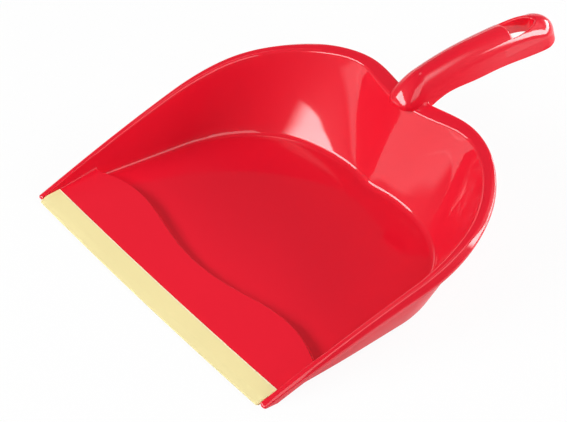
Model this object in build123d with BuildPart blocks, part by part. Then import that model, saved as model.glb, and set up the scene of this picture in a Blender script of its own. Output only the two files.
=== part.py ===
from build123d import *
import os
from math import sqrt

# Hand dustpan: a one-piece moulded pan with its handle, and a push-on rubber lip.
# Millimetres. X is across the mouth, +Y runs back to the handle, Z is up from the floor.
# A point is given as (half width, depth), and depth is measured back from the front edge of the pan.

overall_length = 322.5

# Walls
wall = 2.4
floor_thickness = 2.0
flange_thickness = 2.0

# Inside outline of the basin at the floor
floor_front_half = 115.5
floor_waist = (107.4, 104.0)
floor_corner = (93.8, 140.5)
floor_shoulder = (69.8, 163.4)
floor_depth = 178.0

# Inside outline of the basin at the height of the rear rim
rim_front_half = 136.0
rim_waist = (128.6, 104.0)
rim_corner = (115.5, 156.5)
rim_shoulder = (92.5, 184.0)
rim_lobe = (48.0, 203.6)
rim_notch = (20.0, 198.4)
rim_depth = 196.8
rim_level = 60.0

# Side view of the rim: an arc through three points, as (depth, height)
rim_front = (0.0, 2.0)
rim_middle = (83.0, 30.2)
rim_rear = (200.0, 58.0)
crown_half = 112.0
crown_round = 36.0

# Outer outline of the rolled rim
flange_front_half = 119.6
flange_side = (127.5, 106.0)
flange_corner = (122.1, 146.6)
flange_turn = (104.5, 177.2)
flange_shoulder = (76.6, 201.4)
flange_lobe = (44.0, 211.0)
flange_depth = 205.6
skirt_drop = 4.2
skirt_wall = 1.8

# Ramp behind the lip, with a wavy rear edge
ramp_front_height = 2.9
ramp_thickness = 2.0
ramp_middle_depth = 37.0
ramp_wave = (78.0, 45.5)
ramp_end_depth = 39.5
ramp_step_run = 4.5
ramp_step_height = 12.0
ramp_rise = 0.18

# Lip
lip_length = 230.0
lip_depth = 12.0
lip_overhang = 3.2
lip_rear_height = 3.7
lip_front_height = 3.0
lip_bend_depth = 2.0
lip_nose_height = 0.9
lip_leg_depth = 9.4
lip_leg = 0.9
lip_pocket_depth = 3.2
lip_end_gap = 0.15
lip_edge_round = 0.35

# Tongue that the lip is pushed onto
tongue_thickness = 1.2
tongue_gap = 0.1
tongue_front_gap = 0.3
tongue_beam = 2.0
bead_depth = 7.0
bead_radius = 0.4

# Handle stations from the neck back, as (share of its length, half width, underside, crease, top)
handle_neck = (0.095, 12.5, 54.1, 61.2, 73.6)
handle_rise = (0.22, 12.4, 59.5, 64.8, 77.1)
handle_swell = (0.392, 12.7, 60.3, 67.6, 80.2)
handle_top = (0.563, 12.8, 60.7, 68.8, 81.5)
handle_fall = (0.813, 13.0, 59.1, 67.6, 80.2)
handle_turn = (0.891, 13.3, 59.1, 67.4, 78.2)
handle_overhang = 3.2
handle_wall = 2.6
root_core = 14.0
dome_steps = (0.985, 0.94, 0.85, 0.7, 0.45)

# Hanging hole through the end of the handle: straight in front, half an ellipse behind
hole_half = 8.8
hole_straight = 3.0
hole_rounded = 23.0
hole_end_land = 14.0
hole_corner = 2.2
hole_collar = 2.2

# Reach of the trimming solids past the part, and the sweeps of the rim surface in degrees
clear = 120.0
front_trim = 12.0
rim_sweep = 30.0
crown_sweep = 40.0
half_turn = 180.0

front_y = -overall_length / 2 + lip_overhang
tip_depth = overall_length - lip_overhang
tongue_bottom = lip_leg + tongue_gap
tongue_top = tongue_bottom + tongue_thickness
seat_half = lip_length / 2 + lip_end_gap
handle_nose_depth = rim_depth - handle_overhang
hole_middle_depth = tip_depth - hole_end_land - hole_rounded


def at(point):
    """Plan point of a (half width, depth) pair on the right-hand side."""
    return (point[0], front_y + point[1])


def left(point):
    """Mirror of a plan point."""
    return (-point[0], point[1])


def slab(half, depth_from, depth_to, bottom, top):
    """Box across the pan between two depths and two heights."""
    with BuildPart() as solid:
        with BuildSketch(Plane.XY.offset(bottom)):
            with BuildLine():
                near = at((half, depth_from))
                far = at((half, depth_to))
                Polyline(near, far, left(far), left(near), close=True)
            make_face()
        extrude(amount=top - bottom)
    return solid.part


def grown(points, amount):
    """Right-hand curve moved out by an amount, each point square to the line past its neighbours."""
    moved = []
    for before, point, after in zip(points, points[1:], points[2:]):
        along = (Vector(*after) - Vector(*before)).normalized()
        moved.append((point[0] + along.Y * amount, point[1] - along.X * amount))
    first = (points[0][0] + amount, points[0][1])
    last = (points[-1][0], points[-1][1] + amount)
    return [first] + moved + [last]


def closed_outline(front_half, knots, depth, grow):
    """Outline of the pan, grown by an amount: square front, straight sides, a curve round the back.

    The sides run on ahead of the front edge, so that the front can be trimmed square.
    """
    side = knots[0]
    slope = (front_half - side[0]) / side[1]
    front = at((front_half + slope * front_trim + grow, -front_trim))
    curve = grown([at(knot) for knot in knots] + [at((0.0, depth))], grow)
    edge = Line(front, curve[0])
    Line((0, front[1]), front)
    Spline(*curve, tangents=(edge % 1, (-1, 0)))
    mirror(about=Plane.YZ)


def basin(grow, bottom):
    """Tapered solid of the basin, grown outwards by a wall and starting at a height."""
    with BuildPart() as solid:
        with BuildSketch(Plane.XY.offset(bottom)):
            with BuildLine():
                knots = [floor_waist, floor_corner, floor_shoulder]
                closed_outline(floor_front_half, knots, floor_depth, grow)
            make_face()
        with BuildSketch(Plane.XY.offset(rim_level)):
            with BuildLine():
                knots = [rim_waist, rim_corner, rim_shoulder, rim_lobe, rim_notch]
                closed_outline(rim_front_half, knots, rim_depth, grow)
            make_face()
        loft(ruled=True)
    return solid.part


def under_rim(lower):
    """Everything under the arched rim surface, lowered by an amount and rolled down at both sides."""
    top = rim_arc.arc_center.Y + rim_arc.radius - lower
    bottom = top - clear
    with BuildPart() as solid:
        with BuildSketch(Plane.XZ.offset(-rim_arc.arc_center.X)):
            with BuildLine():
                crown = Line((-crown_half, top), (crown_half, top))
                right = JernArc(crown @ 1, (1, 0), -crown_round, crown_sweep)
                roll = JernArc(crown @ 0, (-1, 0), crown_round, crown_sweep)
                Polyline(right @ 1, ((right @ 1).X, bottom), ((roll @ 1).X, bottom), roll @ 1)
            make_face()
        revolve(axis=rim_axis, revolution_arc=rim_sweep)
    return solid.part


def rim_plate(grow):
    """Upright prism of the rim's outer outline, grown by an amount."""
    with BuildPart() as solid:
        with BuildSketch():
            with BuildLine():
                knots = [flange_side, flange_corner, flange_turn, flange_shoulder, flange_lobe]
                closed_outline(flange_front_half, knots, flange_depth, grow)
            make_face()
        extrude(amount=clear)
    return solid.part


def ramp(lower, start_depth):
    """Wedge under the ramp, lowered by an amount, with its wavy rear step."""
    half = rim_front_half
    start = front_y + start_depth
    with BuildPart() as solid:
        for height, run in ((0.0, ramp_step_run), (ramp_step_height, 0.0)):
            with BuildSketch(Plane.XY.offset(height)):
                with BuildLine():
                    reach = run - lower
                    middle = at((0.0, ramp_middle_depth + reach))
                    wave = at((ramp_wave[0], ramp_wave[1] + reach))
                    end = at((half, ramp_end_depth + reach))
                    rear = Spline(end, wave, middle, left(wave), left(end))
                    Polyline(rear @ 1, (-half, start), (half, start), rear @ 0)
                make_face()
        loft(ruled=True)
        with BuildSketch(Plane.YZ):
            with BuildLine():
                low = front_y + lip_depth
                high = front_y + tip_depth
                rise = (high - low) * ramp_rise
                level = ramp_front_height - lower
                base = -clear
                Polyline((low, base), (high, base), (high, level + rise), (low, level), close=True)
            make_face()
        extrude(amount=clear * 2, both=True, mode=Mode.INTERSECT)
    return solid.part


def dome(station, end_depth, share):
    """Station of a rounded end, at a share of the way from a full station to the tip."""
    depth, half, under, crease, top = station
    shrink = sqrt(1 - share**2)
    reach = depth + (end_depth - depth) * share / dome_steps[0]
    return (reach, half * shrink, under, crease, crease + (top - crease) * shrink)


def handle_block(inset, sink):
    """Solid of the handle, drawn in by a wall, with its underside sunk by an amount."""
    nose_tip = handle_nose_depth + inset
    end_tip = tip_depth - inset
    handle_length = tip_depth - handle_nose_depth
    full = [
        (handle_nose_depth + share * handle_length, half - inset, under - sink, crease, top - inset)
        for share, half, under, crease, top in (
            handle_neck, handle_rise, handle_swell, handle_top, handle_fall, handle_turn
        )
    ]
    nose = [dome(full[0], nose_tip, share) for share in dome_steps]
    end = [dome(full[-1], end_tip, share) for share in reversed(dome_steps)]
    with BuildPart() as solid:
        for depth, half, under, crease, top in nose + full + end:
            with BuildSketch(Plane.XZ.offset(-front_y - depth)):
                with BuildLine():
                    arch = ThreePointArc((-half, crease), (0, top), (half, crease))
                    Polyline(arch @ 1, (half, under), (-half, under), arch @ 0)
                make_face()
        loft(ruled=True)
    return solid.part


def hole_outline(grow):
    """Face of the hanging hole, grown by an amount."""
    half = hole_half + grow
    front = hole_middle_depth - hole_straight - grow
    reach = hole_rounded + grow
    middle = at((0.0, hole_middle_depth))
    with BuildSketch() as face:
        with BuildLine():
            EllipticalCenterArc(middle, half, reach, 0, arc_size=half_turn)
            Polyline((-half, middle[1]), at((-half, front)), at((half, front)), (half, middle[1]))
        make_face()
        fillet(face.vertices().group_by(Axis.Y)[0], hole_corner + grow)
    return face.sketch


rim_points = [(front_y + depth, height) for depth, height in (rim_front, rim_middle, rim_rear)]
rim_arc = ThreePointArc(*rim_points)
rim_axis = Axis((0, rim_arc.arc_center.X, rim_arc.arc_center.Y), (1, 0, 0))

# Hollow of the basin, above the floor and the ramp
with BuildPart() as hollow:
    add(basin(0.0, floor_thickness))
    add(ramp(0.0, -front_trim), mode=Mode.SUBTRACT)

# Space under the ramp
with BuildPart() as under_ramp:
    add(ramp(ramp_thickness, lip_depth + tongue_beam))
    add(basin(0.0, 0.0), mode=Mode.INTERSECT)

# Rim: a thin flange and the turned-down edge round it
with BuildPart() as flange:
    add(rim_plate(0.0))
    add(under_rim(0.0), mode=Mode.INTERSECT)
    add(under_rim(flange_thickness), mode=Mode.SUBTRACT)

with BuildPart() as skirt:
    add(rim_plate(0.0))
    add(rim_plate(-skirt_wall), mode=Mode.SUBTRACT)
    add(under_rim(0.0), mode=Mode.INTERSECT)
    add(under_rim(skirt_drop), mode=Mode.SUBTRACT)

# Collar round the hanging hole, inside the hollow handle
with BuildPart() as collar:
    add(hole_outline(hole_collar))
    extrude(amount=clear)
    add(handle_block(0.0, 0.0), mode=Mode.INTERSECT)

# Pan with its handle
with BuildPart() as pan:
    add(basin(wall, 0.0))
    add(under_rim(0.0), mode=Mode.INTERSECT)
    add(flange.part)
    add(skirt.part)
    add(hollow.part, mode=Mode.SUBTRACT)
    add(handle_block(0.0, 0.0))
    add(handle_block(handle_wall, root_core), mode=Mode.SUBTRACT)
    add(collar.part)
    add(hole_outline(0.0))
    extrude(amount=clear, mode=Mode.SUBTRACT)
    add(under_ramp.part, mode=Mode.SUBTRACT)
    add(slab(clear * 2, -front_trim * 2, 0.0, -clear, clear), mode=Mode.SUBTRACT)
    add(slab(seat_half, -front_trim, lip_depth, -clear, clear), mode=Mode.SUBTRACT)
    add(slab(seat_half, lip_pocket_depth + tongue_front_gap, lip_depth, tongue_bottom, tongue_top))
    with BuildSketch(Plane.YZ):
        with Locations((front_y + bead_depth, tongue_bottom)):
            Circle(bead_radius)
    extrude(amount=seat_half, both=True)

# Rubber lip: a strip with a pocket for the tongue and a groove for its bead
with BuildPart() as lip:
    with BuildSketch(Plane.YZ) as section:
        with BuildLine():
            nose = front_y - lip_overhang
            bend = front_y + lip_bend_depth
            rear = front_y + lip_depth - tongue_gap
            leg_end = front_y + lip_leg_depth
            pocket = front_y + lip_pocket_depth
            roof = tongue_top + tongue_gap
            Polyline(
                (nose, 0), (nose, lip_nose_height), (bend, lip_front_height), (rear, lip_rear_height),
                (rear, roof), (pocket, roof), (pocket, lip_leg), (leg_end, lip_leg), (leg_end, 0),
                close=True,
            )
        make_face()
        fillet(section.vertices().group_by(Axis.Y)[0], lip_edge_round)
        with Locations((front_y + bead_depth, tongue_bottom)):
            Circle(bead_radius + tongue_gap, mode=Mode.SUBTRACT)
    extrude(amount=lip_length / 2, both=True)

pan.part.label = "pan"
lip.part.label = "lip"

os.makedirs("parts", exist_ok=True)
export_step(pan.part, "parts/pan.step")
export_step(lip.part, "parts/lip.step")
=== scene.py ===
"""Looks of the hand dustpan: the red moulding, the rubber lip and a white studio."""

import logging
import math
from dataclasses import dataclass, field
from enum import Enum

import bpy
import numpy as np
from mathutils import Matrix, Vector


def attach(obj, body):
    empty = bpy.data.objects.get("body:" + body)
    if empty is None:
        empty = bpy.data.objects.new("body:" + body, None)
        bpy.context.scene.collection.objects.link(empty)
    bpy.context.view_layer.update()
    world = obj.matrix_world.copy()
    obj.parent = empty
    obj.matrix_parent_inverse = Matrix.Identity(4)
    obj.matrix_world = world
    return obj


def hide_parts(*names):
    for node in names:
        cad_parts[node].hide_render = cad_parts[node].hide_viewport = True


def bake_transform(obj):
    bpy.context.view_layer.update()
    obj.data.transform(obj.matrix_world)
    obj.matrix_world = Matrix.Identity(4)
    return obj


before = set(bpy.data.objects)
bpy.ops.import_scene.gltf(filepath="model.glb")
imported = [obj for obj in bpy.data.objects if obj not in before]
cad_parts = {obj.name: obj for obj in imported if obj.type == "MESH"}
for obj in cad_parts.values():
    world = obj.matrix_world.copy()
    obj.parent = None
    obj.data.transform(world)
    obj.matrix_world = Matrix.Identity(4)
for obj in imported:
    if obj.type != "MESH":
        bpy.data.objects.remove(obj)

log = logging.getLogger("dustpan")
Array = np.ndarray
Pair = tuple[float, float]
Triple = tuple[float, float, float]
MM = 0.001
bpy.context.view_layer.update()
# Part y of the pan's front edge, half the mouth's width and the bow of its edge there, in millimetres
FRONT_Y = -158.05
MOUTH_HALF = 115.0
MOUTH_BOW = 1.5
# Share of a profile's side that the arc at one of its ends may take
ARC_ROOM = 0.48
MIRROR = np.array((-1.0, 1.0, 1.0))


class Ease(Enum):
    """How two heights are joined where they cross."""

    LOWER = -1.0
    UPPER = 1.0


def bowed(across: Array) -> Array:
    """How far the mouth's edge lies behind its middle: a parabola that reaches the bow at both ends."""
    return MOUTH_BOW * (across / MOUTH_HALF) ** 2


def quarter(steps: int) -> Array:
    """Angles from nothing to a right angle."""
    return np.linspace(0.0, math.pi / 2, steps)


def unit(vectors: Array) -> Array:
    """Vectors scaled to length one along the last axis."""
    length = np.linalg.norm(vectors, axis=-1, keepdims=True)
    return vectors / np.maximum(length, 1e-9)


def step_between(low: float, high: float, value: Array) -> Array:
    """Smooth step from 0 at low to 1 at high."""
    share = np.clip((value - low) / (high - low), 0.0, 1.0)
    return share * share * (3.0 - 2.0 * share)


def joined(first: Array, second: Array, width: float, ease: Ease) -> Array:
    """Lower or upper of two heights, with a parabola of the given width where they cross.

    Args:
        first: heights of one surface.
        second: heights of the other.
        width: size of the rounding, in millimetres of height.
        ease: whether the lower or the upper surface is kept.

    Returns:
        The joined heights.
    """
    sign = ease.value
    share = np.clip(0.5 + 0.5 * sign * (first - second) / width, 0.0, 1.0)
    return second + (first - second) * share + sign * width * share * (1.0 - share)


def spline(knots: Array, start: tuple, end: tuple, share: Array) -> Array:
    """Cubic spline through knots, spaced by chord length, with a given direction at each end.

    The slopes make the second derivative continuous, and each span is a Hermite cubic.

    Args:
        knots: points, one per row.
        start: direction at the first knot.
        end: direction at the last knot.
        share: places along the curve, from 0 to 1.

    Returns:
        One point per share.
    """
    chord = np.linalg.norm(np.diff(knots, axis=0), axis=1)
    place = np.concatenate(([0.0], np.cumsum(chord)))
    count = len(knots)
    system = np.eye(count)
    target = np.zeros_like(knots)
    target[0] = unit(np.array(start, float))
    target[-1] = unit(np.array(end, float))
    for i in range(1, count - 1):
        before = 1.0 / chord[i - 1]
        after = 1.0 / chord[i]
        system[i, i - 1:i + 2] = before, 2.0 * (before + after), after
        rise = (knots[i] - knots[i - 1]) * before**2 + (knots[i + 1] - knots[i]) * after**2
        target[i] = 3.0 * rise
    slope = np.linalg.solve(system, target)
    where = np.clip(share, 0.0, 1.0) * place[-1]
    span = np.clip(np.searchsorted(place, where, side="right") - 1, 0, count - 2)
    size = chord[span][:, None]
    t = (where - place[span])[:, None] / size
    return (
        knots[span] * (1.0 + 2.0 * t) * (1.0 - t) ** 2
        + slope[span] * size * t * (1.0 - t) ** 2
        + knots[span + 1] * t**2 * (3.0 - 2.0 * t)
        + slope[span + 1] * size * t**2 * (t - 1.0)
    )


def rounded(
    corners: Array, radii: Array, steps: int, loop: bool = False, room: Array | float = ARC_ROOM
) -> Array:
    """Profiles with each corner turned into a circular arc.

    An arc touches both sides of its corner, and is shortened where a side is too short for its radius.

    Args:
        corners: corner points, as (corner, station, 3).
        radii: arc radius, as (corner, station).
        steps: points on each arc.
        loop: whether the last corner runs on to the first.
        room: share of the side before and after each corner that its arc may take, as (corner, 2).

    Returns:
        Points, as (station, place along the profile, 3).
    """
    before = np.roll(corners, 1, axis=0) - corners
    after = np.roll(corners, -1, axis=0) - corners
    share = np.broadcast_to(room, (len(corners), 2))
    room_before = share[:, :1] * np.linalg.norm(before, axis=2)
    room_after = share[:, 1:] * np.linalg.norm(after, axis=2)
    back = unit(before)
    ahead = unit(after)
    cosine = np.clip((back * ahead).sum(axis=2), -0.9999, 0.9999)
    half = 0.5 * np.arccos(cosine)
    reach = np.minimum(radii / np.tan(half), np.minimum(room_before, room_after))
    radius = reach * np.tan(half)
    centre = corners + unit(back + ahead) * (radius / np.sin(half))[..., None]
    first = corners + back * reach[..., None] - centre
    last = corners + ahead * reach[..., None] - centre
    sweep = (math.pi - 2.0 * half)[..., None, None]
    t = np.linspace(0.0, 1.0, steps)[:, None]
    arc = np.sin((1.0 - t) * sweep) * first[:, :, None] + np.sin(t * sweep) * last[:, :, None]
    arc = arc / np.maximum(np.sin(sweep), 1e-6) + centre[:, :, None]
    points = arc.transpose(1, 0, 2, 3)
    if loop:
        return points.reshape(points.shape[0], -1, 3)
    inner = points[:, 1:-1].reshape(points.shape[0], -1, 3)
    return np.concatenate((corners[0][:, None], inner, corners[-1][:, None]), axis=1)


def placed(name: str, data: bpy.types.ID) -> bpy.types.Object:
    """New object with the given data, in the scene."""
    made = bpy.data.objects.new(name, data)
    bpy.context.scene.collection.objects.link(made)
    return made


class Sheet:
    """Collects grids of points and makes them one mesh, joined where their edges meet."""

    def __init__(self) -> None:
        """Starts with no grid."""
        self.points: list[Array] = []
        self.faces: list[Array] = []
        self.gloss: list[Array] = []
        self.total = 0

    def grid(
        self, points: Array, wrap: bool = False, flip: bool = False, gloss: Array | float = 1.0
    ) -> None:
        """Adds a grid of four-sided faces.

        Args:
            points: positions in millimetres, as (row, column, 3), with depth for y.
            wrap: whether the last column runs on to the first.
            flip: whether the faces are turned over.
            gloss: share of the finish's outer gloss, for the grid, each column or each point.
        """
        rows, columns = points.shape[:2]
        number = np.arange(rows * columns).reshape(rows, columns) + self.total
        if wrap:
            number = np.concatenate((number, number[:, :1]), axis=1)
        quad = np.stack((number[:-1, :-1], number[:-1, 1:], number[1:, 1:], number[1:, :-1]), axis=-1)
        quad = quad.reshape(-1, 4)
        self.points.append(points.reshape(-1, 3))
        self.faces.append(quad[:, ::-1] if flip else quad)
        self.gloss.append(np.broadcast_to(gloss, (rows, columns)).reshape(-1))
        self.total += rows * columns

    def build(self, name: str, crease: float) -> bpy.types.Object:
        """Mesh object of all the grids, in metres in the part's frame.

        Args:
            name: name of the object.
            crease: edges sharper than this many degrees stay sharp.

        Returns:
            The object, with smooth faces.
        """
        points = np.concatenate(self.points) * MM
        points[:, 1] += FRONT_Y * MM
        faces = np.concatenate(self.faces)
        key = np.round(points * 1e7).astype(np.int64)
        _, first, place = np.unique(key, axis=0, return_index=True, return_inverse=True)
        faces = place.reshape(-1)[faces]
        mesh = bpy.data.meshes.new(name)
        mesh.from_pydata(points[first], [], polygons_without_repeats(faces))
        mesh.validate()
        shine = mesh.attributes.new("gloss", "FLOAT", "POINT")
        shine.data.foreach_set("value", np.concatenate(self.gloss)[first].astype(np.float32))
        mesh.shade_smooth()
        mesh.set_sharp_from_angle(angle=math.radians(crease))
        return placed(name, mesh)


def polygons_without_repeats(faces: Array) -> list[list[int]]:
    """Faces as lists of corners, with a corner that repeats its neighbour left out."""
    same = faces == np.roll(faces, 1, axis=1)
    repeats = same.sum(axis=1)
    whole = faces[repeats == 0].tolist()
    kept = faces[repeats == 1][~same[repeats == 1]].reshape(-1, 3)
    return whole + kept.tolist()


class Socket:
    """Shader value with arithmetic, so that a formula reads as one."""

    def __init__(self, tree: bpy.types.NodeTree, value: object) -> None:
        """Wraps a socket, or None where a formula starts."""
        self.tree = tree
        self.value = value

    def node(self, kind: str, inputs: dict, output: int | str = 0, **settings: object) -> "Socket":
        """Adds a node and returns one of its outputs.

        Args:
            kind: type of the node.
            inputs: socket name or number to a value.
            output: which output is wanted.
            settings: properties of the node.

        Returns:
            The wrapped output.
        """
        made = self.tree.nodes.new(kind)
        for key, value in settings.items():
            setattr(made, key, value)
        for key, value in inputs.items():
            plain = value.value if isinstance(value, Socket) else value
            if isinstance(plain, bpy.types.NodeSocket):
                self.tree.links.new(plain, made.inputs[key])
            else:
                made.inputs[key].default_value = plain
        return Socket(self.tree, made.outputs[output])

    def _math(self, operation: str, first: object, second: object) -> "Socket":
        """Math node on two values."""
        return self.node("ShaderNodeMath", {0: first, 1: second}, operation=operation)

    def __add__(self, other: object) -> "Socket":
        """Sum."""
        return self._math("ADD", self, other)

    def __sub__(self, other: object) -> "Socket":
        """Difference."""
        return self._math("SUBTRACT", self, other)

    def __rsub__(self, other: object) -> "Socket":
        """Difference the other way round."""
        return self._math("SUBTRACT", other, self)

    def __mul__(self, other: object) -> "Socket":
        """Product."""
        return self._math("MULTIPLY", self, other)

    def smooth_step(self, low: float, high: float) -> "Socket":
        """Smooth step of this value from 0 at low to 1 at high."""
        limits = {"Value": self, "From Min": low, "From Max": high}
        return self.node("ShaderNodeMapRange", limits, interpolation_type="SMOOTHSTEP")

    def mix(self, low: "tuple | Socket", high: "tuple | Socket") -> "Socket":
        """Colour that runs from low to high as this value runs from 0 to 1."""
        ends = [end if isinstance(end, Socket) else (*end, 1.0) for end in (low, high)]
        return self.node("ShaderNodeMix", {0: self, 6: ends[0], 7: ends[1]}, 2, data_type="RGBA")


@dataclass(frozen=True)
class Finish:
    """Plastic or rubber surface.

    Attributes:
        name: name of the material.
        colour: base colour, linear.
        roughness: roughness of the surface.
        specular: strength of the plain reflection.
        coat: strength of the clear outer gloss.
        grain: height of a fine unevenness, in metres.
        change: largest share by which the colour slowly changes.
    """

    name: str
    colour: Triple
    roughness: float
    specular: float
    coat: float
    grain: float
    change: float = 0.03

    def material(self) -> bpy.types.Material:
        """Material with a slight, slow change of colour and a fine grain."""
        made = bpy.data.materials.new(self.name)
        made.use_nodes = True
        tree = made.node_tree
        shader = tree.nodes["Principled BSDF"]
        place = Socket(tree, None).node("ShaderNodeTexCoord", {}, "Object")
        tree.links.new(self.tone(place).value, shader.inputs["Base Color"])
        speck = place.node("ShaderNodeTexNoise", {"Vector": place, "Scale": 900.0, "Detail": 2.0})
        bump = speck.node("ShaderNodeBump", {"Strength": 0.3, "Distance": self.grain, "Height": speck})
        tree.links.new(bump.value, shader.inputs["Normal"])
        shader.inputs["Roughness"].default_value = self.roughness
        shader.inputs["Specular IOR Level"].default_value = self.specular
        if self.coat > 0.0:
            gloss = place.node("ShaderNodeAttribute", {}, "Fac", attribute_name="gloss") * self.coat
            tree.links.new(gloss.value, shader.inputs["Coat Weight"])
            shader.inputs["Coat Roughness"].default_value = 0.05
            shader.inputs["Coat IOR"].default_value = 1.6
        return made

    def tone(self, place: Socket) -> Socket:
        """Base colour at a place: the colour, a little darker and lighter by slow noise."""
        cloud = place.node("ShaderNodeTexNoise", {"Vector": place, "Scale": 14.0, "Detail": 2.0})
        low = tuple((1.0 - self.change) * part for part in self.colour)
        high = tuple(min(1.0, (1.0 + self.change) * part) for part in self.colour)
        return cloud.mix(low, high)


@dataclass(frozen=True)
class PaintedHighlightFinish(Finish):
    """Rubber with a painted highlight along the rear edge of the strip: its colour turns paler there.

    Attributes:
        edge: colour of the painted highlight along the edge, linear.
        start: distance behind the pan's bowed front edge where the painted highlight starts, in
            millimetres.
        end: distance where the painted highlight has its full colour.
    """

    # Painted highlight: the pale colour stands in for the light caught by the strip's rounded rear edge
    edge: Triple = (0.95, 0.83, 0.56)
    start: float = 10.5
    end: float = 11.3

    def tone(self, place: Socket) -> Socket:
        """Base colour, turned into the painted highlight's colour by a smooth step of the distance behind
        the front edge.
        """
        across = place.node("ShaderNodeSeparateXYZ", {0: place}, "X") * (1.0 / MM)
        depth = place.node("ShaderNodeSeparateXYZ", {0: place}, "Y") * (1.0 / MM) - FRONT_Y
        behind = depth - across * across * (MOUTH_BOW / MOUTH_HALF**2)
        return behind.smooth_step(self.start, self.end).mix(super().tone(place), self.edge)


def dress(piece: bpy.types.Object, finish: Finish) -> None:
    """Gives a piece its finish."""
    piece.data.materials.append(finish.material())


@dataclass(frozen=True)
class Outline:
    """Right half of an outline: a straight side from the front, then a curve round the back.

    Attributes:
        front: half width at the front.
        knots: points of the curve as (half width, depth), the first where the side ends.
        depth: depth on the middle line.
    """

    front: float
    knots: tuple[Pair, ...]
    depth: float

    def points(self, side: Array, turn: Array) -> Array:
        """Points along the side, by shares of its length, then round the back, by shares of the curve."""
        waist = np.array(self.knots[0])
        front = np.array((self.front, 0.0))
        straight = front + (waist - front) * side[:, None]
        knots = np.array(self.knots + ((0.0, self.depth),))
        curve = spline(knots, tuple(waist - front), (-1.0, 0.0), turn)
        return np.concatenate((straight, curve))


@dataclass
class Basin:
    """Floor, ramp, walls and rolled rim of the pan, in millimetres."""

    floor: Outline = Outline(
        115.5, ((107.4, 104.0), (93.8, 141.5), (78.0, 158.8), (60.0, 168.6), (34.0, 174.4)), 176.0
    )
    rim: Outline = Outline(
        136.0, ((128.6, 104.0), (115.5, 156.5), (92.5, 184.0), (48.0, 203.6), (20.0, 198.4)), 196.8
    )
    flange: Outline = Outline(
        119.8, ((126.0, 106.0), (122.0, 146.6), (105.3, 178.0), (76.8, 201.8), (44.0, 211.5)), 206.0
    )
    dent: float = 3.2
    dent_half: float = 14.0
    rim_level: float = 60.0
    floor_level: float = 2.0
    arch_radius: float = 1103.5
    arch_depth: float = 396.2
    arch_level: float = -1028.05
    crown_half: float = 112.0
    crown_round: float = 36.0
    wall: float = 2.4
    base_flare: float = 1.6
    base_flare_run: float = 70.0
    flange_thickness: float = 2.0
    skirt_drop: float = 4.2
    skirt_wall: float = 1.8
    ramp_front: float = 2.9
    ramp_rise: float = 0.18
    ramp_depth: float = 12.0
    ridge_knots: tuple[Pair, ...] = (
        (0.0, 36.3), (36.0, 40.4), (70.0, 46.6), (94.0, 44.8), (111.0, 38.7)
    )
    ridge_end: Pair = (1.0, -0.45)
    ridge_side: float = 112.0
    ridge_ease: float = 1.4
    floor_ease: float = 2.4
    wave_in: Pair = (14.0, 34.0)
    wave_out: Pair = (52.0, 95.0)
    bow_out: Pair = (16.0, 34.0)
    dent_in: Pair = (110.0, 165.0)
    step_run: float = 4.5
    step_height: float = 12.0
    lip_depth: float = 13.3
    beam: float = 2.0
    seat_half: float = 115.15
    tip_round: float = 1.2
    root_half: float = 12.4
    root_depth: float = 192.0
    root_round: float = 9.0
    root_fillet: float = 2.5
    crest_round: float = 3.2
    fold_share: float = 0.62
    fold_rise: float = 0.2
    edge_drop: float = 2.4
    edge_drop_lean: Pair = (0.48, 0.86)
    outside_gloss: float = 0.2
    side_gloss: float = 0.2
    side_gloss_end: Pair = (140.0, 168.0)
    fold_round: float = 2.0
    wall_radius: float = 206.0
    edge_round: float = 1.8
    skirt_round: float = 0.6
    skirt_inner_round: float = 0.5
    shoulder_round: float = 1.2
    base_round: float = 1.4
    base_inner_round: float = 0.3
    front_fillet: float = 1.6
    side_fillet: float = 2.8
    rear_fillet: float = 6.0
    rear_fillet_run: float = 0.55
    fillet_room: float = 0.25
    inset_share: float = 0.8
    inset_least: float = 0.8
    tip_steps: int = 7
    arc_steps: int = 7
    turn_steps: int = 150
    columns: int = 71

    def arch(self, across: Array, depth: Array) -> Array:
        """Height of the rim surface: an arc in side view, rolled down by an arc at both sides."""
        rise = np.sqrt(self.arch_radius**2 - (depth - self.arch_depth) ** 2)
        over = np.maximum(np.abs(across) - self.crown_half, 0.0)
        roll = self.crown_round - np.sqrt(self.crown_round**2 - over**2)
        return self.arch_level + rise - roll

    def ridge(self, across: Array) -> Array:
        """Depth of the ramp's wavy rear edge: a spline from the middle, over the wave, to the end."""
        share = np.linspace(0.0, 1.0, 200)
        line = spline(np.array(self.ridge_knots), (1.0, 0.0), self.ridge_end, share)
        return np.interp(np.abs(across), line[:, 0], line[:, 1])

    def ground(self, across: Array, depth: Array) -> Array:
        """Height of the ramp and the floor behind its step.

        The lower of the ramp's plane and the step, then the upper of that and the floor, both eased.
        """
        ramp = self.ramp_front + self.ramp_rise * (depth - self.ramp_depth)
        behind = depth - self.ridge(across)
        step = self.step_height * (1.0 - behind / self.step_run)
        level = np.full_like(ramp, self.floor_level)
        edge = joined(ramp, step, self.ridge_ease, Ease.LOWER)
        return joined(edge, level, self.floor_ease, Ease.UPPER)

    def dented(self, across: Array) -> Array:
        """How far the rear edge of the floor comes forward under the handle: a bell curve."""
        return self.dent * np.exp(-((across / self.dent_half) ** 2))

    def side_depths(self) -> Array:
        """Depths of the stations along the straight side, close together at the tip and at the step.

        Their runs are the tip, the horn beside the lip, the beam, the ramp, the step and the rest.
        """
        tip = self.tip_round * (1.0 - np.cos(quarter(self.tip_steps)))
        end = self.floor.knots[0][1]
        ridge = float(self.ridge(np.array(self.ridge_side)))
        return np.concatenate((
            tip,
            np.linspace(4.0, self.lip_depth - 0.05, 5),
            self.lip_depth + np.array((0.0, 0.5 * self.beam, self.beam, self.beam + 0.1)),
            np.linspace(self.lip_depth + 2.0 * self.beam, ridge - 3.0, 9),
            np.linspace(ridge - 2.6, ridge + 7.0, 32),
            np.linspace(ridge + 9.0, end, 20)[:-1],
        ))

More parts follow.
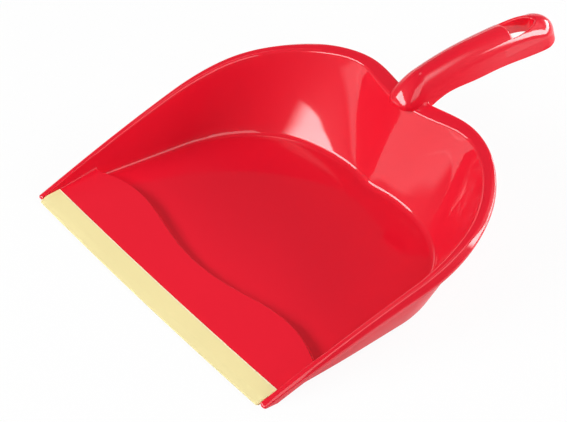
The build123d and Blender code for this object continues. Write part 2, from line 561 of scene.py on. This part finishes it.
    def section(self) -> tuple[Array, Array]:
        """Cross-sections of the wall and rim along the right half of the pan.

        Returns:
            The profile points as (station, place, 3) and the depths of the stations.
        """
        depths = self.side_depths()
        turn = np.linspace(0.0, 1.0, self.turn_steps)
        side = depths / self.floor.knots[0][1]
        low = self.floor.points(side, turn)
        low[:, 1] -= self.dented(low[:, 0])
        high = self.rim.points(side, turn)
        outer = self.flange.points(side, turn)
        share_side = np.concatenate((side, np.ones_like(turn)))
        share_turn = np.concatenate((np.zeros_like(side), turn))
        out = unit(high - low)
        taper = self.rim_level - self.floor_level
        # The wall's top is where its line meets the rim surface, found by repeated steps
        crest = np.zeros(len(low))
        for _ in range(24):
            place = low + (high - low) * crest[:, None]
            crest = (self.arch(place[:, 0], place[:, 1]) - self.floor_level) / taper
        crest_point = low + (high - low) * crest[:, None]
        ground = self.ground(low[:, 0], low[:, 1])
        foot = low + (high - low) * ((ground - self.floor_level) / taper)[:, None]
        horn = self.on_horn(low[:, 1])
        crest_level = self.floor_level + taper * crest
        foot_level = np.where(horn, 0.5 * crest_level, ground)
        fillet = self.front_fillet + self.side_fillet * share_side
        fillet = fillet + (self.rear_fillet - fillet) * step_between(0.0, self.rear_fillet_run, share_turn)
        inset = np.where(horn, 0.0, self.inset_share * fillet + self.inset_least)
        for points in (foot, crest_point):
            points[horn, 0] = np.maximum(points[horn, 0], self.seat_half)
        inner = foot - out * inset[:, None]
        under_level = np.where(self.on_beam(low[:, 1]), 0.0, np.maximum(ground - self.floor_level, 0.0))
        middle = crest_point + (outer - crest_point) * self.fold_share
        bent = np.sin(0.5 * math.pi * share_side)
        fold_level = self.arch(crest_point[:, 0], middle[:, 1]) + self.fold_rise * bent
        droop = self.edge_drop * bent * step_between(*self.edge_drop_lean, out[:, 0])
        rim_level = self.arch(outer[:, 0], outer[:, 1])
        edge_level = rim_level - droop
        skirt_level = rim_level - self.skirt_drop
        turned = outer - out * self.skirt_wall
        under = self.arch(turned[:, 0], turned[:, 1]) - self.flange_thickness
        flare = self.base_flare * step_between(0.0, self.base_flare_run, low[:, 1])
        base = low + out * (self.wall + flare)[:, None]
        base_in = np.where(horn[:, None], foot, low)
        shoulder = crest_point + out * self.wall
        tall = crest_level - foot_level
        bulge = np.where(horn, 0.0, tall**2 / (4.0 * self.wall_radius))
        belly = 0.5 * (foot + crest_point) + out * bulge[:, None]
        belly_out = 0.5 * (base + shoulder) + out * bulge[:, None]
        belly_level = 0.5 * (foot_level + crest_level)
        nothing = np.zeros(len(low))
        table = (
            (inner, foot_level, 0.0),
            (foot, foot_level, fillet),
            (belly, belly_level, self.wall_radius),
            (crest_point, crest_level, self.crest_round),
            (middle, fold_level, self.fold_round),
            (outer, edge_level, self.edge_round),
            (outer, skirt_level, self.skirt_round),
            (turned, skirt_level, self.skirt_inner_round),
            (turned, under, self.skirt_round),
            (shoulder, crest_level - self.flange_thickness, self.shoulder_round),
            (belly_out, 0.5 * (crest_level - self.flange_thickness), self.wall_radius),
            (base, nothing, self.base_round),
            (base_in, nothing, self.base_inner_round),
            (inner, np.where(horn, 0.0, under_level), 0.0),
        )
        corners = np.stack([np.column_stack((plan, np.maximum(level, 0.0))) for plan, level, _ in table])
        radii = np.stack([nothing + radius for _, _, radius in table])
        # The fillet, the wall and the crest meet on two short sides, so each arc has its own share of them
        room = np.full((len(corners), 2), ARC_ROOM)
        room[1:4] = (0.95, self.fillet_room), (0.98 - self.fillet_room, 0.8), (0.18, ARC_ROOM)
        profile = rounded(corners, radii, self.arc_steps, room=room)
        # The fold and the edge of the flange rise beside the handle
        top = slice(1 + 3 * self.arc_steps, 1 + 5 * self.arc_steps)
        profile[:, top, 2] += self.flare(profile[:, top, 0], profile[:, top, 1])
        return self.tipped(profile, low[:, 1]), low[:, 1]

    def on_horn(self, depth: Array) -> Array:
        """Whether a depth lies on the horn beside the lip."""
        return depth < self.lip_depth - 0.01

    def on_beam(self, depth: Array) -> Array:
        """Whether a depth lies on the solid beam behind the lip."""
        return depth < self.lip_depth + self.beam + 0.05

    def flare(self, across: Array, depth: Array) -> Array:
        """Rise of the rim beside the handle: a quarter circle that ends upright at the handle's side."""
        aside = np.maximum(np.abs(across) - (self.root_half - self.root_round), 0.0)
        ahead = np.maximum(self.root_depth + self.root_round - depth, 0.0)
        gap = np.hypot(aside, ahead) - self.root_round
        near = np.clip(self.root_fillet - gap, 0.0, self.root_fillet)
        return self.root_fillet - np.sqrt(self.root_fillet**2 - near**2)

    def tipped(self, profile: Array, depths: Array) -> Array:
        """Rounds off the front tip: each section there shrinks to its middle by a quarter circle."""
        ahead = np.clip((self.tip_round - depths) / self.tip_round, 0.0, 1.0)
        shrink = np.sqrt(1.0 - ahead**2)[:, None, None]
        middle = profile.mean(axis=1, keepdims=True)
        return middle + (profile - middle) * shrink

    def build(self, sheet: Sheet) -> None:
        """Adds the walls, the rim and the floor to a sheet.

        The wall is the profile carried along the outline. Its inner face is duller along both sides than
        at the back, and its outside is dull all round. The floor is a grid across the pan, whose rows bend
        with the ramp's wavy edge, and its height is the formula of the ground.
        """
        profile, depths = self.section()
        profile[-1, :, 0] = 0.0
        place = np.arange(profile.shape[1])
        points = np.concatenate((profile, profile[-2::-1] * MIRROR))
        rise = step_between(*self.side_gloss_end, points[:, :1, 1])
        wall = self.side_gloss + (1.0 - self.side_gloss) * rise
        inside = np.where((place > self.arc_steps) & (place <= 2 * self.arc_steps), wall, 1.0)
        sheet.grid(points, gloss=np.where(place > 6 * self.arc_steps, self.outside_gloss, inside))
        last = int(self.on_horn(depths).sum())
        closing = profile[:last + 1][:, [-1, 0]]
        sheet.grid(closing)
        sheet.grid(closing * MIRROR, flip=True)
        top = self.rows(profile[last:, 0], 0.0)
        below = self.rows(profile[last:, -1], -self.floor_level)
        sheet.grid(top, flip=True)
        sheet.grid(below, gloss=self.outside_gloss)
        sheet.grid(np.stack((top[0], below[0])))

    def rows(self, edge: Array, lower: float) -> Array:
        """Rows across the pan between an edge curve and its mirror image.

        Args:
            edge: points of the right-hand edge, one per row.
            lower: how far the surface lies from the ground.

        Returns:
            Points, as (row, column, 3).
        """
        share = np.linspace(1.0, -1.0, self.columns)
        side = edge[:, :1]
        across = side * share
        shift = self.ridge(across) - self.ridge(side)
        depth = edge[:, 1:2]
        hold = step_between(*self.wave_in, depth) * (1.0 - step_between(*self.wave_out, depth))
        front = (bowed(across) - bowed(side)) * (1.0 - step_between(*self.bow_out, depth))
        dent = (self.dented(side) - self.dented(across)) * step_between(*self.dent_in, depth)
        place = depth + shift * hold + front + dent
        height = np.maximum(self.ground(across, place) + lower, 0.0)
        height = np.where(self.on_beam(depth) & (lower < 0.0), 0.0, height)
        height[:, [0, -1]] = edge[:, 2:]
        return np.stack((across, place, height), axis=-1)


@dataclass
class Handle:
    """Arched handle with a hanging hole, in millimetres.

    A station holds its share of the length, the half width, how far the foot spreads, the underside, the
    crease, the top and how square the arch is.
    """

    nose: float = 190.4
    tip: float = 319.2
    stations: tuple[tuple[float, ...], ...] = (
        (0.1522, 12.9, 1.0, 56.2, 58.2, 75.0, 2.2),
        (0.2391, 12.6, 1.02, 60.1, 62.0, 77.2, 2.3),
        (0.4068, 12.9, 1.06, 61.5, 64.5, 80.2, 2.3),
        (0.5738, 12.9, 1.12, 62.8, 66.8, 81.2, 2.3),
        (0.8175, 13.1, 1.18, 62.2, 68.2, 80.1, 2.2),
        (0.8936, 13.4, 1.18, 62.3, 68.5, 78.2, 2.1),
    )
    first_slope: tuple[float, ...] = (1.0, -0.03, 0.001, 0.4, 0.38, 0.25, 0.0)
    last_slope: tuple[float, ...] = (1.0, 0.04, 0.0, 0.02, 0.03, -0.25, 0.0)
    nose_width_power: float = 2.8
    nose_rise_power: float = 1.3
    flare: float = 1.03
    wall: float = 2.6
    hole_half: float = 7.6
    hole_straight: float = 2.5
    hole_rounded: float = 22.0
    hole_end_land: float = 15.0
    hole_land: float = 9.0
    hole_floor: float = 67.0
    collar: float = 2.2
    hole_round: float = 2.0
    hole_square: float = 3.0
    side_gloss: float = 0.05
    side_gloss_share: Pair = (0.55, 0.8)
    tip_gloss: float = 0.55
    tip_gloss_run: float = 45.0
    tip_lift: float = 2.4
    tip_lift_run: float = 18.0
    across: int = 41
    nose_rows: int = 24
    along: int = 90
    straight_steps: int = 22
    bend_steps: int = 24
    ring_steps: int = 18
    roll_steps: int = 8

    def at(self, share: Array | float) -> Array | float:
        """Depth at a share of the handle's length."""
        return self.nose + share * (self.tip - self.nose)

    def sizes(self, depth: Array, inset: float = 0.0) -> tuple[Array, ...]:
        """Half width, spread, underside, crease, top and squareness at each depth.

        Between the stations the sizes follow a spline. Past the last station the width and the rise of the
        arch shrink by a quarter of an ellipse, and past the first by curves of their own powers.

        Args:
            depth: depths along the handle.
            inset: how far the surface lies inside the outer skin.

        Returns:
            The six sizes.
        """
        table = np.array(self.stations)
        place = self.at(table[:, 0])
        share = np.linspace(0.0, 1.0, 400)
        knots = np.column_stack((place, table[:, 1:]))
        level = spline(knots, self.first_slope, self.last_slope, share)
        found = [np.interp(depth, level[:, 0], column) for column in level.T[1:]]
        half, spread, under, crease, top, power = found
        front = np.clip((place[0] - depth) / (place[0] - self.nose), 0.0, 1.0)
        back = np.sqrt(1.0 - np.clip((depth - place[-1]) / (self.tip - place[-1]), 0.0, 1.0) ** 2)
        narrow = back * (1.0 - front**self.nose_width_power) ** (1.0 / self.nose_width_power)
        shrink = back * (1.0 - front**self.nose_rise_power) ** (1.0 / self.nose_rise_power)
        height = np.maximum(crease + (top - crease) * shrink - inset, crease)
        return np.maximum(half * narrow - inset, 0.0), spread, under, crease, height, power

    def arch(self, across: Array, depth: Array, inset: float = 0.0) -> Array:
        """Height of the top: at each depth a squared-off ellipse, cut off at the creases."""
        half, _, _, crease, top, power = self.sizes(depth, inset)
        share = np.clip(np.abs(across) / np.maximum(self.flare * half, 1e-6), 0.0, 1.0 / self.flare)
        drop = 1.0 - (1.0 - share**power) ** (1.0 / power)
        full = 1.0 - (1.0 - self.flare**-power) ** (1.0 / power)
        return top - (top - crease) * drop / full

    def hole(self, grow: float, angle: Array) -> Array:
        """Hole outline at angles about its middle: half an ellipse behind, a rounded square in front."""
        behind = np.sin(angle) >= 0.0
        power = np.where(behind, 1.0, 1.0 / self.hole_square)
        reach = np.where(behind, self.hole_rounded, self.hole_straight) + grow
        cosine = np.sign(np.cos(angle)) * np.abs(np.cos(angle)) ** power
        sine = np.sign(np.sin(angle)) * np.abs(np.sin(angle)) ** power
        return np.stack(((self.hole_half + grow) * cosine, self.hole_middle() + reach * sine), axis=-1)

    def hole_middle(self) -> float:
        """Depth where the hole is widest."""
        return self.tip - self.hole_end_land - self.hole_rounded

    def skin(self, inset: float) -> Array:
        """Rows along the handle, up one side, over the arch and down the other side.

        Args:
            inset: how far the skin lies inside the outer one.

        Returns:
            Points, as (row, column, 3).
        """
        start = self.hole_middle() - self.hole_straight - self.hole_land
        end = self.at(self.stations[0][0])
        nose = self.nose + (end - self.nose) * (1.0 - np.cos(quarter(self.nose_rows + 1)))
        depth = np.concatenate((nose[:-1], np.linspace(end, start, self.along)))
        half, _, _, _, _, power = self.sizes(depth, inset)
        lean = np.linspace(-1.0, 1.0, self.across) * np.arcsin(self.flare ** (-power / 2.0))[:, None]
        across = np.sign(lean) * np.abs(np.sin(lean)) ** (2.0 / power[:, None])
        across = across * (self.flare * half)[:, None]
        place = np.broadcast_to(depth[:, None], across.shape)
        arch = np.stack((across, place, self.arch(across, place, inset)), axis=-1)
        foot = self.on_foot(arch[:, [0, -1]])
        return np.concatenate((foot[:, :1], arch, foot[:, 1:]), axis=1)

    def rings(self, seam: Array, inset: float, grow: float) -> tuple[Array, Array]:
        """Rings at the end of the handle, from round the hole out to the outline.

        Args:
            seam: the row of the skin where the rings begin, without its feet.
            inset: how far the surface lies inside the outer skin.
            grow: distance of the innermost ring from the hole's wall.

        Returns:
            The rings as (ring, place, 3), and the angle of each place about the hole.
        """
        tip_from = self.at(self.stations[-1][0])
        tip = self.tip - inset
        straight = np.linspace(seam[0, 1], tip_from, self.straight_steps)[1:]
        bend = tip_from + (tip - tip_from) * np.sin(quarter(self.bend_steps)[1:])
        depth = np.concatenate((straight, bend))
        right = np.column_stack((self.sizes(depth, inset)[0], depth))
        left = right[-2::-1] * MIRROR[:2]
        outer = np.concatenate((seam[:, :2], right, left))
        angle = np.unwrap(np.arctan2(outer[:, 1] - self.hole_middle(), outer[:, 0]))
        edge = self.hole(grow, angle)
        share = np.sin(quarter(self.ring_steps))[:, None, None]
        plan = edge + (outer - edge) * share
        height = self.arch(plan[..., 0], plan[..., 1], inset)
        return np.concatenate((plan, height[..., None]), axis=-1), angle

    def on_foot(self, points: Array) -> Array:
        """Points at the foot of the wall under the given ones, spread sideways and raised at the tip."""
        low = points.copy()
        _, spread, under, _, _, _ = self.sizes(points[..., 1])
        low[..., 0] *= spread
        rise = step_between(self.tip - self.tip_lift_run, self.tip, points[..., 1])
        low[..., 2] = under + self.tip_lift * rise
        return low

    def build(self, sheet: Sheet) -> None:
        """Adds the handle to a sheet: outer skin, hollow, feet of the walls, hole and its collar."""
        outer = self.skin(0.0)
        inner = self.skin(self.wall)[self.nose_rows:]
        behind = outer[self.nose_rows:]
        sheet.grid(outer, gloss=self.shine(outer[:, 0, 1]))
        sheet.grid(inner, flip=True)
        sheet.grid(np.stack((behind[:, 0], inner[:, 0]), axis=1), flip=True)
        sheet.grid(np.stack((behind[:, -1], inner[:, -1]), axis=1))
        self.under_nose(sheet, outer[:self.nose_rows + 1], inner[0])
        top, angle = self.rings(outer[-1, 1:-1], 0.0, self.hole_round)
        roof, _ = self.rings(inner[-1, 1:-1], self.wall, self.collar)
        crease = np.arange(top.shape[1]) >= self.across - 1
        shine = np.ones(top.shape[:2])
        shine[-1] = np.where(crease, self.tip_gloss, 1.0)
        sheet.grid(top, wrap=True, flip=True, gloss=shine)
        sheet.grid(roof, wrap=True)
        sides = []
        for ring in (top[-1], roof[-1]):
            wall = np.concatenate((ring[self.across - 1:], ring[:1]))
            sides.append(np.stack((wall, self.on_foot(wall))))
        sheet.grid(sides[0], flip=True, gloss=self.tip_gloss)
        sheet.grid(sides[1])
        sheet.grid(np.stack((sides[0][1], sides[1][1])), flip=True)
        self.bore(sheet, top[0], angle, roof[0])

    def shine(self, depth: Array) -> Array:
        """Gloss of the outer skin: full over the top, with a smooth step down to the gloss of the side.

        The side is dull towards the pan and rises by a smooth step to the gloss of the tip.

        Args:
            depth: depth of each row.

        Returns:
            The gloss, as (row, column).
        """
        share = np.linspace(-1.0, 1.0, self.across)
        share = np.abs(np.concatenate((share[:1], share, share[-1:])))
        lower = step_between(*self.side_gloss_share, share)
        rise = step_between(depth[-1] - self.tip_gloss_run, depth[-1], depth)
        level = self.side_gloss + (self.tip_gloss - self.side_gloss) * rise
        return 1.0 - lower * (1.0 - level[:, None])

    def under_nose(self, sheet: Sheet, outer: Array, inner: Array) -> None:
        """Adds the flat underside of the solid nose, and the end wall of the hollow behind it.

        Args:
            sheet: the sheet that takes the grids.
            outer: the rows of the outer skin along the nose.
            inner: the first row of the hollow's skin.
        """
        flat = inner.copy()
        flat[:, 2] = inner[0, 2]
        last = np.concatenate((outer[-1, :1], flat, outer[-1, -1:]))
        share = ((last[:, 0] - last[0, 0]) / (last[-1, 0] - last[0, 0]))[:, None]
        under = outer[:, :1] + (outer[:, -1:] - outer[:, :1]) * share
        under[-1] = last
        sheet.grid(under, flip=True)
        sheet.grid(np.stack((flat, inner)), flip=True)

    def bore(self, sheet: Sheet, edge: Array, angle: Array, collar: Array) -> None:
        """Adds the wall of the hole, rounded at the top by a quarter circle, and the collar round it.

        Args:
            sheet: the sheet that takes the grids.
            edge: the ring where the rounding starts.
            angle: angle of each place about the hole.
            collar: the ring where the collar leaves the roof of the hollow.
        """
        inner = self.hole(0.0, angle)
        roll = quarter(self.roll_steps)[:, None]
        plan = edge[:, :2] + (inner - edge[:, :2]) * np.sin(roll)[..., None]
        height = edge[:, 2] - self.hole_round * (1.0 - np.cos(roll))
        rows = np.concatenate((plan, height[..., None]), axis=-1)
        low = rows[-1].copy()
        low[:, 2] = self.hole_floor
        outside = collar.copy()
        outside[:, 2] = self.hole_floor
        sheet.grid(np.concatenate((rows, low[None])), wrap=True)
        sheet.grid(np.stack((collar, outside)), wrap=True, flip=True)
        sheet.grid(np.stack((outside, low)), wrap=True, flip=True)


@dataclass
class Pan:
    """The red moulding: basin and handle in one piece."""

    basin: Basin = field(default_factory=Basin)
    handle: Handle = field(default_factory=Handle)
    finish: Finish = Finish("red plastic", (0.83, 0.006, 0.025), 0.45, 0.15, 0.9, 0.00001)

    def build(self) -> bpy.types.Object:
        """Builds the moulding and puts it in place of its CAD node."""
        sheet = Sheet()
        self.basin.build(sheet)
        self.handle.build(sheet)
        piece = sheet.build("pan_moulding", 50.0)
        dress(piece, self.finish)
        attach(piece, "pan")
        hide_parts("pan")
        return piece


@dataclass
class Lip:
    """The rubber strip on the front edge, in millimetres."""

    half: float = 114.8
    front: float = -3.15
    rear: float = 11.85
    nose_height: float = 0.9
    bend_depth: float = 1.8
    bend_height: float = 2.7
    rear_height: float = 3.7
    leg_depth: float = 9.4
    leg: float = 0.9
    pocket_depth: float = 3.2
    pocket_roof: float = 2.3
    foot_round: float = 0.3
    edge_round: float = 0.5
    bend_round: float = 6.0
    pocket_round: float = 0.2
    end_wall: float = 1.0
    end_middle: Pair = (9.0, 2.55)
    corner: float = 1.6
    corner_reach: float = 5.0
    hinge_level: float = 1.6
    columns: int = 70
    arc_steps: int = 9
    corner_steps: int = 8
    # The rubber's finish paints a highlight along the rear edge of the strip
    finish: Finish = PaintedHighlightFinish("pale rubber", (0.87, 0.75, 0.37), 0.55, 0.35, 0.0, 0.00004)

    def profile(self, across: Array, solid: bool) -> Array:
        """Cross-sections at places across the mouth, bowed with it and rounded off at the front corners.

        Args:
            across: places across the mouth.
            solid: whether the pocket is closed, as it is in the end walls.

        Returns:
            Points, as (place, point of the profile, 3).
        """
        pocket = self.leg_depth if solid else self.pocket_depth
        middle = 0.5 * (self.leg + self.pocket_roof)
        outline = np.array((
            (self.front, 0.0, self.foot_round),
            (self.front, self.nose_height, self.edge_round),
            (self.bend_depth, self.bend_height, self.bend_round),
            (self.rear, self.rear_height, self.edge_round),
            (self.rear, self.pocket_roof, self.pocket_round),
            (pocket, self.pocket_roof, self.pocket_round),
            (pocket, middle if solid else self.leg, self.pocket_round),
            (self.leg_depth, self.leg, self.pocket_round),
            (self.leg_depth, 0.0, self.pocket_round),
        ))
        corners = np.zeros((len(outline), len(across), 3))
        corners[..., 0] = across
        corners[..., 1:] = outline[:, None, :2]
        radii = np.repeat(outline[:, 2:], len(across), axis=1)
        made = rounded(corners, radii, self.arc_steps, loop=True)
        past = np.clip((np.abs(across) - self.half + self.corner) / self.corner, 0.0, 1.0)
        back = self.corner * (1.0 - np.sqrt(1.0 - past**2))[:, None]
        ahead = np.clip((self.bend_depth - made[..., 1]) / self.corner_reach, 0.0, 1.0)
        made[..., 1] += bowed(across)[:, None] + back * ahead
        return made

    def build(self) -> bpy.types.Object:
        """Builds the strip: its profile carried along the mouth, with a wall at each end of the pocket."""
        inner = self.half - self.end_wall
        ends = self.half - self.corner * (1.0 - np.sin(quarter(self.corner_steps)))
        across = np.linspace(inner, -inner, self.columns)
        sheet = Sheet()
        sheet.grid(self.profile(across, False), wrap=True)
        for side in (1.0, -1.0):
            wall = self.profile(side * np.concatenate(([inner], ends[ends > inner])), True)
            opening = self.profile(side * np.array([inner]), False)
            middle = np.array((wall[-1, :, 0].mean(), *self.end_middle))
            centre = np.broadcast_to(middle, opening.shape)
            sheet.grid(np.concatenate((opening, wall, centre)), wrap=True, flip=side > 0.0)
        piece = sheet.build("lip_strip", 40.0)
        dress(piece, self.finish)
        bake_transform(piece)
        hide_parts("lip")
        return piece


@dataclass(frozen=True)
class Softbox:
    """Soft rectangular light, placed by its direction from the part.

    Attributes:
        name: name of the light.
        azimuth: direction from the part in degrees, 0 towards the handle and 90 towards +X.
        elevation: height above the floor in degrees.
        distance: distance from the part.
        size: width and height.
        glow: brightness of its face.
        soft: share of the face over which it fades at its left, right, lower and upper edge.
        hard: the least such share.
    """

    name: str
    azimuth: float
    elevation: float
    distance: float
    size: Pair
    glow: float
    soft: tuple[float, float, float, float] = (0.0, 0.0, 0.0, 0.0)
    hard: float = 0.01

    def build(self) -> None:
        """Adds the light, turned towards the part."""
        data = bpy.data.lights.new(self.name, "AREA")
        data.shape = "RECTANGLE"
        data.size, data.size_y = self.size
        data.energy = self.glow * math.pi * self.size[0] * self.size[1]
        turn = math.radians(self.azimuth)
        lift = math.radians(self.elevation)
        away = Vector((math.sin(turn) * math.cos(lift), math.cos(turn) * math.cos(lift), math.sin(lift)))
        made = placed(self.name, data)
        made.location = away * self.distance
        made.rotation_euler = (-away).to_track_quat("-Z", "Y").to_euler()
        made.visible_camera = False
        if max(self.soft) > 0.0:
            self.fade(data)

    def fade(self, data: bpy.types.Light) -> None:
        """Fades the face towards its edges: at each edge a smooth step of the distance from it."""
        data.use_nodes = True
        tree = data.node_tree
        start = Socket(tree, None)
        place = start.node("ShaderNodeNewGeometry", {}, "Parametric")
        strength = 1.0
        for axis, soft in zip("XY", (self.soft[:2], self.soft[2:])):
            along = start.node("ShaderNodeSeparateXYZ", {0: place}, axis)
            for inside, share in zip((along, 1.0 - along), soft):
                strength = inside.smooth_step(0.0, max(share, self.hard)) * strength
        tree.links.new(strength.value, tree.nodes["Emission"].inputs["Strength"])


@dataclass
class Studio:
    """White sweep, soft lights and the camera, in metres."""

    camera_place: Triple = (0.69238, -0.57734, 0.69338)
    camera_target: Triple = (-0.01519, -0.04297, 0.0)
    lens: float = 114.286
    floor_size: float = 20.0
    surround: float = 0.1
    floor_glow: float = 0.93
    floor_white: float = 0.85
    lights: tuple[Softbox, ...] = (
        Softbox("key", 115.0, 48.0, 1.4, (0.8, 0.8), 1.9),
        Softbox("top", 65.0, 58.0, 1.35, (1.1, 1.1), 2.8, (0.5, 0.5, 0.5, 0.5)),
        Softbox("front", 196.5, 31.5, 1.5, (1.84, 0.42), 9.5, (0.0, 0.3, 0.03, 0.03)),
        Softbox("left", -80.0, 18.0, 1.5, (1.2, 0.6), 1.6, (0.5, 0.5, 0.5, 0.5)),
        Softbox("left top", -85.0, 68.0, 1.4, (0.4, 0.4), 1.5, (0.3, 0.3, 0.3, 0.3)),
        Softbox("right", 19.0, 22.0, 1.4, (1.7, 0.393), 11.0, (0.1, 0.02, 0.1, 0.1)),
        Softbox("card", -150.0, 6.2, 1.5, (1.21, 0.315), 0.95, (0.3, 0.05, 0.12, 0.4)),
        Softbox("back", -50.0, 14.0, 1.5, (1.4, 0.5), 1.5, (0.5, 0.5, 0.5, 0.5)),
    )

    def build(self) -> None:
        """Builds the floor, the lights, the world and the camera."""
        self.camera()
        self.floor()
        self.world()
        for light in self.lights:
            light.build()

    def camera(self) -> None:
        """Adds the camera, with no roll and no shift."""
        data = bpy.data.cameras.new("camera")
        data.lens = self.lens
        data.sensor_width = 36.0
        made = placed("camera", data)
        made.location = self.camera_place
        look = Vector(self.camera_target) - Vector(self.camera_place)
        made.rotation_euler = look.to_track_quat("-Z", "Y").to_euler()
        bpy.context.scene.camera = made

    def floor(self) -> None:
        """Adds the white floor, which glows for the camera so that only a light shadow is left on it."""
        half = self.floor_size / 2
        mesh = bpy.data.meshes.new("floor")
        corners = [(-half, -half, 0), (half, -half, 0), (half, half, 0), (-half, half, 0)]
        mesh.from_pydata(corners, [], [(0, 1, 2, 3)])
        made = placed("floor", mesh)
        material = bpy.data.materials.new("white sweep")
        material.use_nodes = True
        tree = material.node_tree
        shader = tree.nodes["Principled BSDF"]
        shader.inputs["Base Color"].default_value = (*[self.floor_white] * 3, 1.0)
        shader.inputs["Roughness"].default_value = 0.9
        shader.inputs["Specular IOR Level"].default_value = 0.0
        start = Socket(tree, None)
        seen = start.node("ShaderNodeLightPath", {}, "Is Camera Ray")
        mirrored = start.node("ShaderNodeLightPath", {}, "Is Glossy Ray")
        through = start.node("ShaderNodeLightPath", {}, "Is Transmission Ray")
        share = (seen + mirrored + through) * self.floor_glow
        glow = start.node("ShaderNodeEmission", {"Strength": 1.0})
        both = start.node("ShaderNodeMixShader", {0: share, 1: Socket(tree, shader.outputs[0]), 2: glow})
        tree.links.new(both.value, tree.nodes["Material Output"].inputs["Surface"])
        mesh.materials.append(material)

    def world(self) -> None:
        """Sets a plain, even surround."""
        world = bpy.data.worlds.new("plain surround")
        bpy.context.scene.world = world
        world.use_nodes = True
        ground = world.node_tree.nodes["Background"]
        ground.inputs["Color"].default_value = (1.0, 1.0, 1.0, 1.0)
        ground.inputs["Strength"].default_value = self.surround


def main() -> None:
    """Builds the pieces and the studio."""
    logging.basicConfig(level=logging.INFO)
    bpy.context.scene.view_settings.view_transform = "Standard"
    for maker in (Pan(), Lip()):
        piece = maker.build()
        log.info("%s: %d vertices", piece.name, len(piece.data.vertices))
    Studio().build()


if __name__ == "__main__":
    main()
